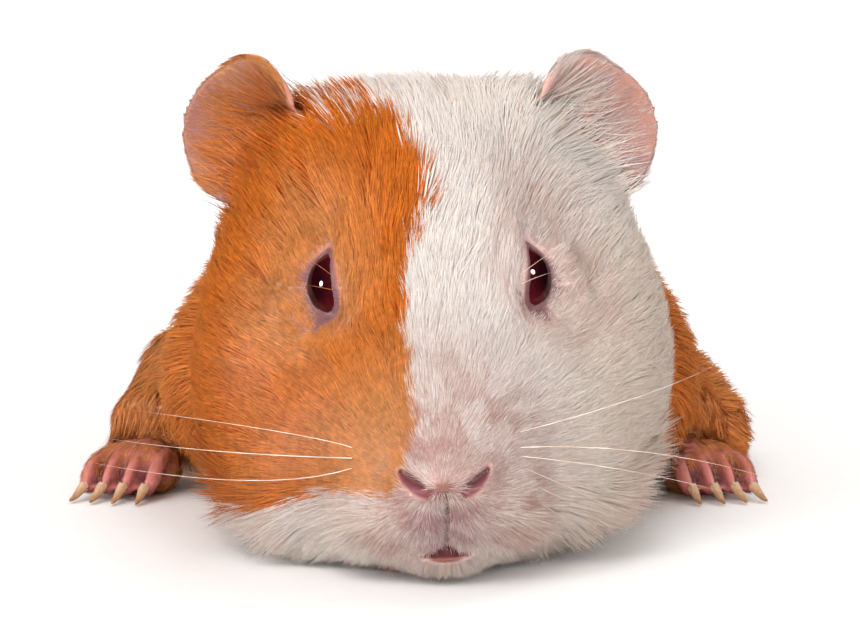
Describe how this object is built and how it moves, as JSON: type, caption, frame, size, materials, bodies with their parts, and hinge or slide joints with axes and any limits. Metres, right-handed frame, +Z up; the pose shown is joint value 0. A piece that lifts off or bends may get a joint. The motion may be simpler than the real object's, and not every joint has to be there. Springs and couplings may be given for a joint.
{
  "type": "guinea pig",
  "caption": "Still, life-size model of a smooth-coated white and orange guinea pig lying flat with its chin low and its forepaws spread.",
  "frame": {"origin": "on the floor under the middle of the belly, on the flat that the belly rests on", "axes": "+Z up; -Y forwards, out of the nose; +X to the animal's own left"},
  "size_m": [0.1127, 0.2188, 0.0687],
  "materials": {
    "white_coat": "short white to cream fur",
    "orange_coat": "short orange fur with darker roots",
    "pink_ear": "thin bare pink skin with fine pale hairs",
    "orange_ear": "thin brown skin with short orange hairs",
    "bare_skin": "bare pink-red skin of the paws",
    "eye": "wet, very dark ruby",
    "horn": "smooth cream horn, darker at the tip"
  },
  "bodies": {
    "root": {"head": "white_coat", "neck": "white_coat", "chest": "orange_coat", "torso": "white_coat", "rump": "orange_coat", "ear_left": "pink_ear", "ear_right": "orange_ear", "eye_left": "eye", "eye_right": "eye", "foreleg_upper_left": "orange_coat", "hindleg_upper_left": "orange_coat", "foreleg_lower_left": "orange_coat", "forepaw_left": "bare_skin", "hindpaw_left": "bare_skin", "foreclaw_left_1": "horn", "foreclaw_left_2": "horn", "foreclaw_left_3": "horn", "foreclaw_left_4": "horn", "hindclaw_left_1": "horn", "hindclaw_left_2": "horn", "hindclaw_left_3": "horn", "foreleg_upper_right": "orange_coat", "hindleg_upper_right": "orange_coat", "foreleg_lower_right": "orange_coat", "forepaw_right": "bare_skin", "hindpaw_right": "bare_skin", "foreclaw_right_1": "horn", "foreclaw_right_2": "horn", "foreclaw_right_3": "horn", "foreclaw_right_4": "horn", "hindclaw_right_1": "horn", "hindclaw_right_2": "horn", "hindclaw_right_3": "horn"}
  },
  "joints": []
}
